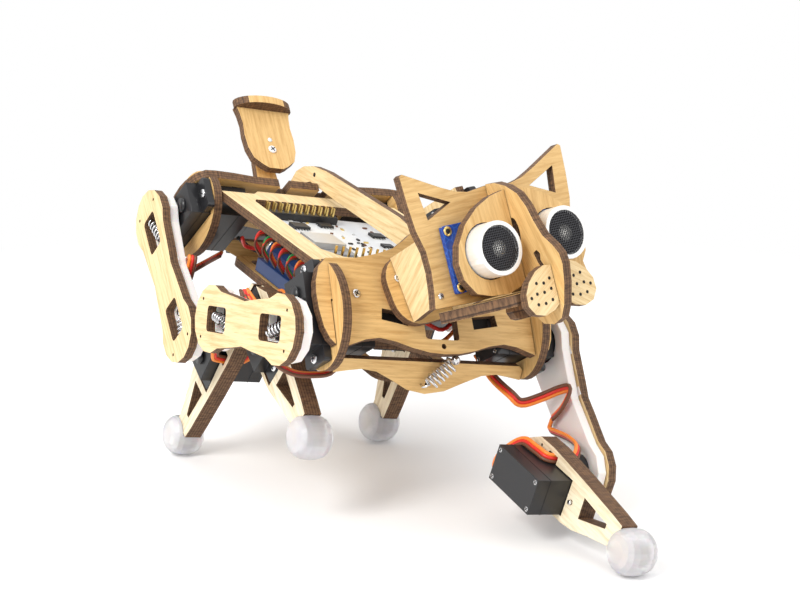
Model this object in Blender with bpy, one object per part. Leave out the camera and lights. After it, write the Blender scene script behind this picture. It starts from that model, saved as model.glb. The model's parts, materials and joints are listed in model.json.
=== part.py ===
"""Small laser-cut plywood robot cat with servo-driven legs, head and tail, built in metres, +Z up, head towards -Y."""

import math

import bmesh
import bpy
from mathutils import Matrix, Vector
from mathutils.geometry import tessellate_polygon

MM = 0.001

# Stance of the body over the ground, degrees and millimetres.
BODY_ROLL = 10.5
BODY_PITCH = 8.55
BODY_HEIGHT = 67.2
BODY_X = 2.717
BODY_Y = 21.138

# Sheet and gaps.
PLY = 3.0
GAP = 0.3

# Shoulder frames: the chest plate leans back, the rear plate mirrors it.
LEAN = 39.3
SHOULDER_Y = 53.5
SHOULDER_Z = 9.0
BOARD_IN = 35.3
BOARD_OUT = BOARD_IN + PLY
SERVO_BACK = 9.3
HIP_DROP = 7.0

# Micro servo, output axis at the origin of its own frame.
SERVO_HALF_W = 5.9
SERVO_NEAR = 6.0
SERVO_FAR = 16.8
SERVO_TALL = 22.5
FLANGE_HALF_W = 5.7
FLANGE_NEAR = 10.7
FLANGE_FAR = 21.5
FLANGE_THICK = 2.5
FLANGE_TO_TOP = 6.6
TOWER_R = 5.8
TOWER_TALL = 3.8
SCREW_R = 1.0
HIP_SERVO_TOP = 45.2
HIP_TOWER = 2.6
KNEE_SERVO_TOP = 39.7
KNEE_TOWER = 6.2

# Leg.
THIGH = 45.0
SHANK = 48.0
LOBE_R = 11.0
WAIST = 7.0
CORE_X0 = 46.2
CORE_X1 = 49.4
PLATE_X0 = CORE_X1 + GAP
PLATE_X1 = PLATE_X0 + PLY
SHANK_X0 = 29.8
SHANK_X1 = SHANK_X0 + 2 * PLY
FOOT_X = (SHANK_X0 + SHANK_X1) / 2
FOOT_R = 7.0
FOOT_HALF = 6.3
FOOT_STAND = 7.2

# Where each foot stands: distance along the body, and how far a lifted foot is off the ground.
FEET = {
    "front_right": (-1, -1, -50.6, 22.4, -1),
    "front_left": (1, -1, -132.5, 0.0, -1),
    "rear_right": (-1, 1, 30.5, 0.0, 1),
    "rear_left": (1, 1, 11.0, 0.0, 1),
}

# Neck and head.
PAN_UP = 7.4
PAN_ANGLE = 15.4
HEAD_OUT = 22.5
HEAD_TILT = 11.1
PIVOT_BACK = 14.0
PIVOT_DOWN = 1.6

# Tail.
TAIL_OUT = 7.3
TAIL_DROP = 3.5
TAIL_REACH = 16.3

PALE = (0.80, 0.62, 0.36)
TAN = (0.72, 0.52, 0.27)
WHITE = (0.86, 0.84, 0.82)
BLACK = (0.02, 0.02, 0.022)


def clear_scene():
    for obj in list(bpy.data.objects):
        bpy.data.objects.remove(obj)


def material(name, colour, roughness=0.6, metallic=0.0):
    mat = bpy.data.materials.new(name)
    mat.use_nodes = True
    shader = mat.node_tree.nodes["Principled BSDF"]
    shader.inputs["Base Color"].default_value = (*colour, 1.0)
    shader.inputs["Roughness"].default_value = roughness
    shader.inputs["Metallic"].default_value = metallic
    return mat


def turn(axis, degrees):
    return Matrix.Rotation(math.radians(degrees), 4, axis)


def shift(x, y, z):
    return Matrix.Translation((x, y, z))


def spread(axis, point, level):
    """A point of a flat outline at a level along the axis it is extruded on."""
    a, b = point
    return {"X": (level, a, b), "Y": (a, level, b), "Z": (a, b, level)}[axis]


def prism(axis, outline, lo, hi, holes=()):
    """A closed sheet: the outline and its holes, extruded from lo to hi along the axis."""
    rings = [list(outline)] + [list(hole) for hole in holes]
    flat = [point for ring in rings for point in ring]
    faces2 = tessellate_polygon([[Vector((a, b, 0.0)) for a, b in ring] for ring in rings])
    mesh = bmesh.new()
    low = [mesh.verts.new(spread(axis, p, min(lo, hi))) for p in flat]
    high = [mesh.verts.new(spread(axis, p, max(lo, hi))) for p in flat]
    for tri in faces2:
        mesh.faces.new([low[i] for i in tri])
        mesh.faces.new([high[i] for i in reversed(tri)])
    start = 0
    for ring in rings:
        count = len(ring)
        for i in range(count):
            j = start + (i + 1) % count
            mesh.faces.new((low[start + i], low[j], high[j], high[start + i]))
        start += count
    bmesh.ops.recalc_face_normals(mesh, faces=mesh.faces)
    return mesh


def box(x0, x1, y0, y1, z0, z1):
    return prism("Z", [(x0, y0), (x1, y0), (x1, y1), (x0, y1)], z0, z1)


def ring_points(cx, cy, rx, ry=None, count=20, start=0.0):
    ry = rx if ry is None else ry
    angles = [start + 2 * math.pi * i / count for i in range(count)]
    return [(cx + rx * math.cos(t), cy + ry * math.sin(t)) for t in angles]


def rounded(x0, x1, y0, y1, r, count=3):
    """A rectangle with rounded corners."""
    points = []
    for cx, cy, first in ((x1 - r, y1 - r, 0), (x0 + r, y1 - r, 90), (x0 + r, y0 + r, 180), (x1 - r, y0 + r, 270)):
        for i in range(count + 1):
            t = math.radians(first + 90 * i / count)
            points.append((cx + r * math.cos(t), cy + r * math.sin(t)))
    return points


def smooth(points, steps=3, closed=True):
    """Catmull-Rom points through hand-chosen ones."""
    count = len(points)
    out = []
    for i in range(count if closed else count - 1):
        if closed:
            p = [Vector(points[(i + k) % count]) for k in (-1, 0, 1, 2)]
        else:
            p = [Vector(points[min(max(i + k, 0), count - 1)]) for k in (-1, 0, 1, 2)]
        for s in range(steps):
            t = s / steps
            a = p[1] * 2
            b = (p[2] - p[0]) * t
            c = (p[0] * 2 - p[1] * 5 + p[2] * 4 - p[3]) * t * t
            d = (p[1] * 3 - p[0] - p[2] * 3 + p[3]) * t * t * t
            out.append(tuple((a + b + c + d) * 0.5))
    if not closed:
        out.append(tuple(points[-1]))
    return out


def mirrored(right_half):
    """A whole outline from its half with x >= 0, given from top to bottom."""
    half = list(right_half)
    if half[0][0] < 1e-6 and half[0][1] == half[1][1]:
        half = half[1:]
    if half[-1][0] < 1e-6 and half[-1][1] == half[-2][1]:
        half = half[:-1]
    return half + [(-x, z) for x, z in reversed(half) if x > 1e-6]


def lathe_x(profile, count=24):
    """A closed solid of revolution about X: profile points are (x, r), both ends with r = 0."""
    mesh = bmesh.new()
    rings = []
    for x, r in profile:
        if r < 1e-6:
            rings.append([mesh.verts.new((x, 0, 0))])
            continue
        angles = [2 * math.pi * i / count for i in range(count)]
        rings.append([mesh.verts.new((x, r * math.cos(t), r * math.sin(t))) for t in angles])
    for a, b in zip(rings, rings[1:]):
        for i in range(count):
            j = (i + 1) % count
            if len(a) == 1:
                mesh.faces.new((a[0], b[j], b[i]))
            elif len(b) == 1:
                mesh.faces.new((a[i], a[j], b[0]))
            else:
                mesh.faces.new((a[i], a[j], b[j], b[i]))
    bmesh.ops.recalc_face_normals(mesh, faces=mesh.faces)
    return mesh


def moved(mesh, matrix):
    bmesh.ops.transform(mesh, matrix=matrix, verts=mesh.verts)
    return mesh


def to_object(name, mesh):
    bmesh.ops.scale(mesh, vec=(MM, MM, MM), verts=mesh.verts)
    data = bpy.data.meshes.new(name)
    mesh.to_mesh(data)
    mesh.free()
    obj = bpy.data.objects.new(name, data)
    bpy.context.scene.collection.objects.link(obj)
    return obj


def make(name, base, place, mat, add=(), cut=()):
    """One named piece: a base solid, solids united with it and solids cut from it, placed in the body frame."""
    obj = to_object(name, base)
    helpers = []
    for operation, tools in (("UNION", add), ("DIFFERENCE", cut)):
        for tool in tools:
            helper = to_object(name + "_tool", tool)
            helper.hide_render = True
            helper.display_type = "WIRE"
            helpers.append(helper)
            modifier = obj.modifiers.new(operation, "BOOLEAN")
            modifier.operation = operation
            modifier.solver = "EXACT"
            modifier.object = helper
    if helpers:
        graph = bpy.context.evaluated_depsgraph_get()
        data = bpy.data.meshes.new_from_object(obj.evaluated_get(graph))
        obj.modifiers.clear()
        obj.data = data
        for helper in helpers:
            bpy.data.objects.remove(helper)
    obj.data.materials.clear()
    obj.data.materials.append(mat)
    obj.matrix_world = BODY @ to_metres(place)
    return obj


def to_metres(matrix):
    out = matrix.copy()
    out.translation = matrix.translation * MM
    return out


def servo_solids(side, top, to_body, tower_tall=TOWER_TALL):
    """A micro servo with its output axis on X at the origin. to_body turns its long side where it is wanted."""
    bottom = top - SERVO_TALL
    flange = top - FLANGE_TO_TOP
    base = moved(box(side * bottom, side * top, -SERVO_HALF_W, SERVO_HALF_W, -SERVO_NEAR, SERVO_FAR), to_body)
    ears = prism(
        "X",
        rounded(-FLANGE_HALF_W, FLANGE_HALF_W, -FLANGE_NEAR, FLANGE_FAR, 1.0, 2),
        side * flange,
        side * (flange + FLANGE_THICK),
        [ring_points(0, -8.6, SCREW_R, count=8), ring_points(0, 19.4, SCREW_R, count=8)],
    )
    tower = prism("X", ring_points(0, 0, TOWER_R, count=20), side * (top - 0.5), side * (top + tower_tall))
    return base, [moved(ears, to_body), moved(tower, to_body)]


def lobes(length, radius, waist, count=10):
    """A dog-bone outline in (y, z) with one end on the origin and the other at z = -length."""
    top = [(radius * math.cos(t), radius * math.sin(t)) for t in arc(-35, 215, count)]
    bottom = [(radius * math.cos(t), -length + radius * math.sin(t)) for t in arc(145, 395, count)]
    left = [(-waist - 0.8, -length / 2 + 5.5), (-waist, -length / 2), (-waist - 0.8, -length / 2 - 5.5)]
    right = [(-y, z) for y, z in reversed(left)]
    return top + left + bottom + right


def arc(first, last, count):
    return [math.radians(first + (last - first) * i / count) for i in range(count + 1)]


def leg_angles(hip_y, hip_z, foot_y, foot_z, bend):
    """Angles of thigh and shank forward of straight down, for a foot centre in the body frame."""
    dy, dz = foot_y - hip_y, foot_z - hip_z
    reach = math.hypot(dy, dz)
    line = math.atan2(-dy, -dz)
    at_hip = math.acos((THIGH**2 + reach**2 - SHANK**2) / (2 * THIGH * reach))
    thigh = line + bend * at_hip
    knee_y = hip_y - THIGH * math.sin(thigh)
    knee_z = hip_z - THIGH * math.cos(thigh)
    shank = math.atan2(knee_y - foot_y, knee_z - foot_z)
    return math.degrees(thigh), math.degrees(shank)


def shoulder(end):
    """Frame of a leaning shoulder: X across, +Z up the plate, outward face on the end's side."""
    return shift(0, end * SHOULDER_Y, SHOULDER_Z) @ turn("X", end * LEAN)


def foot_height(side, y, lift):
    """Height in the body frame of a foot centre that is lift above standing on the ground."""
    row = BODY_TURN.to_3x3().row[2]
    return (FOOT_STAND + lift - BODY_HEIGHT - row[0] * side * FOOT_X - row[1] * y) / row[2]


def build_leg(name, side, end, foot_y, lift, bend, mats):
    hip = shoulder(end) @ shift(0, -end * SERVO_BACK, -HIP_DROP)
    hip_y, hip_z = hip.translation.y, hip.translation.z
    foot_z = foot_height(side, foot_y, lift)
    thigh_angle, shank_angle = leg_angles(hip_y, hip_z, foot_y, foot_z, bend)
    thigh = shift(0, hip_y, hip_z) @ turn("X", -thigh_angle)
    knee = thigh @ shift(0, 0, -THIGH)
    shank = shift(*knee.translation) @ turn("X", -shank_angle)

    base, add = servo_solids(side, HIP_SERVO_TOP, Matrix.Identity(4), HIP_TOWER)
    make(name + "_hip_servo", base, hip, mats["servo"], add)

    windows = [rounded(-4.1, 4.1, -11.7, 1.7, 1.2, 2), rounded(-4.1, 4.1, -47.2, -34.4, 1.2, 2)]
    pins = [ring_points(y, z, 0.55, count=6) for y in (-6.1, 6.1) for z in (4.8, -THIGH - 5.8)]
    make(
        name + "_thigh_plate",
        prism("X", lobes(THIGH, LOBE_R, WAIST), side * PLATE_X0, side * PLATE_X1, windows + pins),
        thigh,
        mats["pale"],
    )
    pockets = [
        box(side * (CORE_X0 + 0.7), side * 54, -3.8, 3.8, -11.5, 1.5),
        box(side * (CORE_X0 + 0.7), side * 54, -3.8, 3.8, -47, -34.6),
        prism("X", ring_points(0, 0, TOWER_R + 0.4, count=24), side * 45, side * 54),
    ]
    make(
        name + "_thigh_core",
        prism("X", lobes(THIGH, LOBE_R - 0.9, WAIST - 1.0, 8), side * CORE_X0, side * CORE_X1),
        thigh,
        mats["white"],
        (),
        pockets,
    )

    base, add = servo_solids(side, KNEE_SERVO_TOP, turn("X", 180), KNEE_TOWER)
    make(name + "_knee_servo", base, shank, mats["servo"], add)
    pocket = box(side * (SHANK_X0 + PLY), side * 40, -6.35, 6.35, -21.9, 11.1)
    make(
        name + "_shank",
        prism("X", shank_outline(), side * SHANK_X0, side * SHANK_X1, shank_windows()),
        shank,
        mats["stack"],
        (),
        [pocket],
    )
    make_foot(name + "_foot", side, shank, mats["silicone"])
    return {"hip": hip, "thigh": thigh, "knee": knee, "shank": shank, "angles": (thigh_angle, shank_angle)}


def shank_outline():
    """The A-shaped shin: a servo cradle at the knee that tapers to a round tongue in the foot."""
    front = [(-4.5, 12.8), (-10.4, 3.2), (-10.5, -4.0), (-8.8, -22.0), (-6.9, -38.0), (-6.0, -43.6)]
    tip = [(-4.0, -43.6), (-4.0, -49.0), (-2.6, -51.4), (0.0, -52.2), (2.6, -51.4), (4.0, -49.0), (4.0, -46.5)]
    back = [(2.7, -43.1), (2.6, -40.5), (5.0, -31.0), (7.3, -23.5), (8.0, -18.0), (8.0, 5.5), (3.5, 12.8)]
    return front + tip + back


def shank_windows():
    servo = [(-6.2, -17.1), (6.2, -17.1), (6.2, 6.3), (-6.2, 6.3), (-6.2, -2.6)]
    lead_notch = [(-8.7, -2.6), (-8.7, -7.4), (-6.2, -7.4)]
    gap = [(-4.5, -24.6), (2.6, -24.8), (-1.3, -37.2), (-2.9, -37.2)]
    screws = [ring_points(0, z, 0.8, count=8) for z in (8.6, -19.4)]
    pin = ring_points(-8.3, 1.6, 0.5, count=6)
    return [servo + lead_notch, gap, pin] + screws


def make_foot(name, side, shank, mat):
    half = FOOT_HALF
    profile = [(-half, 0.0), (-half, 3.4), (-half + 0.7, 5.0), (-half + 2.0, 6.2), (-half + 3.8, 6.85)]
    profile += [(0.0, FOOT_R)] + [(-x, r) for x, r in reversed(profile)]
    ball = moved(lathe_x(profile, 28), shift(side * FOOT_X, 0, -SHANK))
    x0, x1 = SHANK_X0 - GAP, SHANK_X1 + GAP
    tongue = prism("X", rounded(-4.3, 4.3, -52.5, -40, 2.6, 3), side * x0, side * x1)
    seat = box(side * x0, side * x1, -8, 8, -43.9, -36)
    make(name, ball, shank, mat, (), [tongue, seat])


def chest_outline(neck):
    """Half outline of a leaning plate, from the middle of its top edge, in (x, z) of the shoulder frame."""
    crown = [(0, 24), (6.5, 24), (9.5, 21.5), (14, 18.4)] if neck else [(0, 12.4), (5.8, 12.4)]
    if not neck:
        crown += [(5.8, 7.0), (10.0, 7.0), (10.0, 12.4)]
    rim = [(20, 16.2 if neck else 12.6), (28, 14.2 if neck else 13.4), (35, 13.7)]
    ear = [(38.8, 13.4), (41.6, 10.6), (43.1, 6.0), (43.5, 2.0), (43.2, -3.0), (42.2, -8.5), (40.6, -12.0)]
    notch = [(38.7, -13.9), (38.7, 0.3), (34.9, 0.3), (34.9, -14.2)]
    wave = [(32, -13.2), (28, -11.8), (23, -11.1), (17.5, -12.0), (11.5, -13.8), (5.5, -15.0), (0, -15.3)]
    return mirrored(crown + rim + ear + notch + wave)


def build_shoulder(word, end, mats):
    frame = shoulder(end)
    windows = [
        [(-21.0, -1.6), (-21.6, -5.2), (-12.2, -6.8), (-12.0, -2.8)],
        [(12.0, -2.8), (12.2, -6.8), (21.6, -5.2), (21.0, -1.6)],
        rounded(-6.2, 6.2, -10.6, -3.4, 0.8, 2),
        ring_points(0, -12.8, 0.9, count=8),
    ]
    if end < 0:
        windows.append(ring_points(0, PAN_UP, 6.3, count=20))
    name = "chest_plate" if end < 0 else "rear_plate"
    lo, hi = (0, PLY) if end < 0 else (-PLY, 0)
    make(name, prism("Y", chest_outline(end < 0), lo, hi, windows), frame, mats["tan"])

    lower = [(0, -7.6), (33.5, -7.6), (34.9, -9.0), (34.9, -12.4), (30, -11.6), (25, -10.9), (19.6, -11.6)]
    lower += [(13, -14.4), (7, -17.2), (0, -18.4)]
    y0, y1 = (-58.0, -55.0) if end < 0 else (55.0, 58.0)
    make(
        word + "_lower_plate",
        prism("Y", mirrored(lower), y0, y1, [ring_points(0, -15.0, 0.9, count=8)]),
        Matrix.Identity(4),
        mats["tan"],
    )
    for side, hand in ((-1, "right"), (1, "left")):
        board = ring_points(-end * 8.0, -2.0, 13.7, 17.3, count=36)
        y0, y1 = sorted((-end * (SERVO_BACK - 6.2), -end * (SERVO_BACK + 6.2)))
        cutter = box(side * 30, side * 45, y0, y1, -HIP_DROP - 6.3, -HIP_DROP + 17.1)
        s0, s1 = sorted((end * GAP, -end * (PLY + GAP)))
        slot = box(side * 30, side * 45, s0, s1, -0.3, 30)
        make(
            f"{word}_{hand}_shoulder_board",
            prism("X", board, side * BOARD_IN, side * BOARD_OUT),
            frame,
            mats["tan"],
            (),
            [cutter, slot],
        )


def build_body(mats):
    here = Matrix.Identity(4)
    ring = mirrored([(0, 42), (19, 42), (22, 38.4), (34.8, 38.4), (34.8, -38.4), (22, -38.4), (20, -33.8), (0, -33.8)])
    opening = mirrored([(0, 31.5), (24.5, 31.5), (26, 29), (26, -20), (21, -26.5), (0, -26.5)])
    make("back_frame", prism("Z", ring, 11.5, 14.5, [opening]), here, mats["pale"])

    top = [(-32, 22.2), (-10, 24.6), (20, 24.4), (42, 24.2), (52, 23.2), (59, 21.0), (63.5, 17.8)]
    under = [(66.0, 13.0), (66.0, 8.6), (60.8, 8.6), (57.6, 15.0), (52, 17.4), (30, 16.6), (-2, 16.2), (-32, 15.0)]
    make("spine_rail", prism("X", top + under, 6.3, 9.3), here, mats["pale"])

    make("circuit_board", box(-25.2, 25.2, -25.8, 30.8, 8.4, 10.0), here, mats["board"])

    tray = rounded(-16.4, 16.4, -54.6, 54.6, 4, 3)
    hole = rounded(-12, 12, -46, -26, 3, 3)
    back = rounded(-12, 12, 42, 50, 3, 3)
    make("battery_tray", prism("Z", tray, -16, -13, [hole, back]), here, mats["tan"])
    cells = [prism("Y", ring_points(x, -5.4, 7.0, count=20), -16, 36) for x in (-7.4, 7.4)]
    base = box(-15.4, 15.4, -18, 38, -12.7, -8.0)
    make("battery_pack", base, here, mats["module"], cells)

    pan = shoulder(-1) @ shift(0, 0, PAN_UP)
    base, add = servo_solids(1, -3.3, pan_turn())
    make("pan_servo", base, pan, mats["servo"], add)
    return pan


def pan_turn():
    """Turns a servo's output axis from +X to -Y, its long side to +X."""
    return Matrix(((0, 0, 1, 0), (-1, 0, 0, 0), (0, -1, 0, 0), (0, 0, 0, 1)))


def build_tail(mats):
    frame = shoulder(1) @ shift(0, TAIL_OUT, -TAIL_DROP)
    up = Matrix(((0, 0, 1, 0), (0, 1, 0, 0), (1, 0, 0, 0), (0, 0, 0, 1)))
    base, add = servo_solids(1, -12.9, up)
    make("tail_servo", base, frame, mats["servo"], add)
    half = [(0, 18.4), (11.0, 18.4), (10.2, 15.0), (9.8, 10.5), (10.2, 5.5), (9.8, 0), (8.3, -4.4), (5.0, -7.0)]
    half = [(x, y + TAIL_REACH) for x, y in half + [(2.8, -8.2), (0, -8.2)]]
    strip = prism("Z", mirrored(half), -1.5, 1.5)
    cap = prism("Y", ring_points(0, 1.2, 11.6, 5.0, count=28), TAIL_REACH + 17.6, TAIL_REACH + 20.6)
    post = prism("Z", ring_points(0, TAIL_REACH, 2.6, count=14), -7.0, 0.0)
    ends = [(4.8 * math.cos(t), 4.8 * math.sin(t)) for t in arc(180, 360, 8)]
    ends += [(3.6 * math.cos(t), TAIL_REACH + 3.6 * math.sin(t)) for t in arc(0, 180, 8)]
    arm = prism("Z", ends, -8.8, -5.8)
    make("tail", strip, frame, mats["tan"], [cap, post, arm])
    return frame


def build_neck_and_head(pan, mats):
    swing = pan @ turn("Y", -PAN_ANGLE)
    plate = rounded(-20.5, 20.5, -11.6, 11.0, 8.5, 6)
    make("neck_plate", prism("Y", plate, -4.0, -1.0), swing, mats["tan"])
    pivot = swing @ shift(0, -HEAD_OUT, 0)
    base, add = servo_solids(1, 9.5, Matrix.Identity(4))
    make("tilt_servo", base, pivot, mats["servo"], add)
    flange_x = 9.5 - FLANGE_TO_TOP
    reach = HEAD_OUT - 4.0 - GAP
    holder = [(reach, -11.3), (reach, 22.6), (-3.5, 22.6), (-3.5, 17.1)]
    holder += [(6.2, 17.1), (6.2, -6.3), (-3.5, -6.3), (-3.5, -11.3)]
    make(
        "neck_servo_bracket",
        prism("X", holder, flange_x - GAP - PLY, flange_x - GAP),
        pivot,
        mats["pale"],
    )
    cheek = [(reach, -10.5), (reach, 10.5), (2.0, 10.5), (-5.0, 4.0), (-5.0, -4.0), (2.0, -9.0)]
    make("neck_side_plate", prism("X", cheek, -16.3, -13.3), pivot, mats["pale"])

    head = pivot @ turn("X", HEAD_TILT)
    build_head(head, head @ shift(0, -PIVOT_BACK, PIVOT_DOWN), mats)
    return swing, pivot, head


def build_head(head, face, mats):
    """Head pieces share the tilt axis as origin; their shapes are given from the sensor board's middle."""
    rise = PIVOT_DOWN
    back = -PIVOT_BACK

    def at(y):
        return y + back

    def lift(points):
        return [(a, b + rise) for a, b in points]

    ears = [(0, 19.2), (8.4, 18.3), (13, 19.2), (18, 21.2), (30.6, 27.0), (31.6, 26.4)]
    side = [(31.2, 18), (30.4, 10.3), (28.6, 4), (28.4, -2), (29.2, -8), (30.2, -12.6), (16, -13.4), (0, -13.4)]
    left = [(-26.4, 20.9), (-15.6, 16.4), (-25.2, 12.6)]
    right = [(26.4, 20.9), (25.2, 12.6), (15.6, 16.4)]
    pin = [ring_points(s * 27.2, -9.4, 0.7, count=6) for s in (-1, 1)]
    outline = mirrored(ears + side)
    holes = [left, right] + pin
    make("face_plate", prism("Y", lift(outline), at(0), at(PLY), [lift(h) for h in holes]), head, mats["tan"])

    board = prism("Y", lift(rounded(-22.5, 22.5, -10, 10, 0.6, 2)), at(-2.0), at(-0.4))
    make("sensor_board", board, head, mats["blue"])
    for s, hand in ((-1, "right"), (1, "left")):
        tube = prism("Y", lift(ring_points(s * 13, 0, 8.0, count=32)), at(-14.0), at(-2.3))
        dish = prism("Y", lift(ring_points(s * 13, 0, 6.7, count=28)), at(-15.0), at(-12.8))
        make(f"{hand}_eye_transducer", tube, head, mats["metal"], (), [dish])
        lid = [(1.8, 16.4), (7.5, 15.4), (13.5, 12.9), (19.0, 8.9), (23.0, 3.6), (24.6, -1.5), (24.0, -6.5)]
        lid += [(20.6, -11.2), (15.6, -12.8), (9.0, -13.4), (4.0, -12.2), (1.8, -10.4)]
        lid = [(s * x, z) for x, z in lid]
        eye = ring_points(s * 13, 0, 8.4, count=28)
        make(f"{hand}_eye_plate", prism("Y", lift(lid), at(-8.2), at(-5.2), [lift(eye)]), head, mats["tan"])

    nose = [(-0.3, 19.4), (-4.5, 19.0), (-9.0, 17.2), (-13.0, 14.3), (-15.6, 10.0), (-17.2, 5.5), (-19.4, 0.8)]
    nose += [(-22.8, -2.8), (-24.6, -5.4), (-25.0, -8.5), (-23.8, -14), (-21.6, -20), (-19.2, -23.6), (-15.6, -25)]
    nose += [(-11.0, -24.2), (-8.6, -21.6), (-8.4, -16.0)]
    nose += [(-0.3, -16.0), (-0.3, -10.4), (-2.4, -10.4), (-2.4, 10.4), (-0.3, 10.4)]
    eye_hole = ring_points(-8.4, 3.4, 1.9, 4.4, count=16)
    slot = [(-14.0, -3.6), (-15.6, -3.0), (-16.6, -4.2), (-16.2, -6.0), (-18.6, -10.6), (-17.4, -11.2), (-14.9, -6.4)]
    nose = [(at(y), z) for y, z in nose]
    inner = [[(at(y), z) for y, z in hole] for hole in (eye_hole, slot)]
    jaw_cut = box(-5, 5, at(-16.9), at(5), -17.5 + rise, -13.6 + rise)
    make(
        "nose_plate",
        prism("X", lift(nose), -1.5, 1.5, [lift(h) for h in inner]),
        head,
        mats["tan"],
        (),
        [jaw_cut],
    )

    pad = [(1.8, -8.0), (4.6, -7.6), (8.0, -8.8), (11.2, -11.4), (13.2, -14.6), (13.4, -18.0), (11.4, -20.8)]
    pad += [(7.8, -21.8), (4.0, -20.8), (1.8, -19.4)]
    dots = [(3.4, -11.6), (5.9, -12.6), (8.6, -12.2), (3.6, -14.6), (6.4, -15.2), (9.2, -15.2), (11.6, -16.0)]
    dots += [(4.0, -17.8), (6.8, -18.4), (9.6, -18.2)]
    for s, hand in ((-1, "right"), (1, "left")):
        pricks = [ring_points(s * x, z, 0.4, count=6) for x, z in dots]
        shape = [(s * x, z) for x, z in pad]
        make(
            f"{hand}_whisker_pad",
            prism("Y", lift(shape), at(-20.2), at(-17.2), [lift(h) for h in pricks]),
            head,
            mats["pale"],
        )
    jaw = [(0, 3.0), (26.0, 3.0), (29.0, 0.6), (28.4, -3.0), (15.0, -15.0), (14.2, -16.6), (0, -16.6)]
    jaw = [(x, at(y)) for x, y in mirrored(jaw)]
    tab = [(-6, -15.6), (6, -15.6), (6.9, -18.6), (5.8, -20.9), (4, -21.6), (-4, -21.6), (-5.8, -20.9), (-6.9, -18.6)]
    chin = prism("Y", lift(tab), at(-5), at(-2))
    make("jaw_plate", prism("Z", jaw, -17.2 + rise, -13.9 + rise), head, mats["tan"], [chin])

    arm = [(-10.7, 9.5), (-10.7, -9.5), (-2.0, -8.5), (6.0, -4.6), (7.4, 0.0), (6.0, 4.6), (-2.0, 8.5)]
    make("head_arm", prism("X", arm, 13.6, 16.6), head, mats["pale"])


def tube(name, points, radius, mat):
    curve = bpy.data.curves.new(name, "CURVE")
    curve.dimensions = "3D"
    curve.bevel_depth = radius * MM
    curve.bevel_resolution = 2
    curve.use_fill_caps = True
    spline = curve.splines.new("POLY")
    spline.points.add(len(points) - 1)
    for point, target in zip(spline.points, points):
        point.co = (*(Vector(target) * MM), 1.0)
    obj = bpy.data.objects.new(name, curve)
    curve.materials.append(mat)
    bpy.context.scene.collection.objects.link(obj)
    obj.matrix_world = BODY
    return obj


def chest_spring(mat):
    low, high = Vector((-1.6, -61.2, -13.6)), Vector((4.8, -61.6, -6.2))
    axis = (high - low).normalized()
    side = axis.orthogonal().normalized()
    other = axis.cross(side)
    turns, steps = 6.5, 10
    points = []
    total = int(turns * steps)
    for i in range(total + 1):
        t = i / total
        swing = 2 * math.pi * turns * t
        points.append(low.lerp(high, t) + 2.2 * (math.cos(swing) * side + math.sin(swing) * other))
    tube("chest_spring", points, 0.42, mat)


def lead(name, side, end, parts, mat):
    """Servo lead: out under the shoulder board, round the thigh and through the shank to the knee servo."""
    thigh, shank = parts["thigh"], parts["shank"]
    points = [Vector((side * 27, end * 43, -9.5))]
    if parts["angles"][0] * end < 0:
        points += [
            Vector((side * 29.5, end * 51, -14.5)),
            Vector((side * 31, end * 60.5, -16.4)),
            Vector((side * 34.5, end * 62.6, -18.3)),
            Vector((side * 40, end * 64.8, -15.2)),
            Vector((side * 43.6, end * 68, -11.2)),
        ]
    else:
        points += [
            Vector((side * 29.5, end * 49, -15.2)),
            Vector((side * 35, end * 47, -17.8)),
            Vector((side * 40.5, end * 42, -18.8)),
        ]
    points += [
        thigh @ Vector((side * 44.7, -8.4, -20.4)),
        thigh @ Vector((side * 44.4, -3.0, -24.0)),
        thigh @ Vector((side * 44.2, 3.2, -25.2)),
        thigh @ Vector((side * 43.8, 5.2, -28.0)),
        thigh @ Vector((side * 43.4, 1.0, -31.6)),
    ]
    if end > 0:
        points.append(shank @ Vector((side * 43.1, -0.5, 9.6)))
    points += [
        shank @ Vector((side * 42.8, -8.8, 5.0)),
        shank @ Vector((side * 41.2, -9.4, -1.6)),
        shank @ Vector((side * 37.4, -7.45, -5.2)),
        shank @ Vector((side * 28.4, -7.45, -5.2)),
        shank @ Vector((side * 26.8, -7.5, 0.5)),
        shank @ Vector((side * 26.2, -7.0, 6.4)),
        shank @ Vector((side * 25.2, -2.6, 10.6)),
        shank @ Vector((side * 24.0, 2.4, 12.8)),
        shank @ Vector((side * 22.8, 4.6, 11.0)),
        shank @ Vector((side * 22.2, 4.2, 7.5)),
    ]
    tube(name, smooth(points, 4, closed=False), 1.0, mat)


clear_scene()
bpy.context.scene.unit_settings.scale_length = 1.0
BODY_TURN = turn("X", BODY_PITCH) @ turn("Y", BODY_ROLL)
BODY = shift(BODY_X * MM, BODY_Y * MM, BODY_HEIGHT * MM) @ BODY_TURN

MATS = {
    "pale": material("birch_ply_pale", PALE, 0.62),
    "tan": material("birch_ply_tan", TAN, 0.62),
    "stack": material("birch_ply_stack", (0.62, 0.44, 0.24), 0.65),
    "white": material("white_nylon", WHITE, 0.45),
    "servo": material("servo_black", BLACK, 0.35),
    "silicone": material("clear_silicone", (0.82, 0.80, 0.84), 0.25),
    "board": material("white_circuit_board", (0.85, 0.86, 0.88), 0.35),
    "module": material("black_module", (0.03, 0.03, 0.035), 0.5),
    "blue": material("blue_circuit_board", (0.02, 0.09, 0.38), 0.35),
    "metal": material("transducer_shell", (0.86, 0.86, 0.87), 0.35, 0.2),
    "steel": material("spring_steel", (0.55, 0.55, 0.56), 0.3, 1.0),
    "lead": material("orange_lead", (0.80, 0.17, 0.03), 0.5),
}

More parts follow.
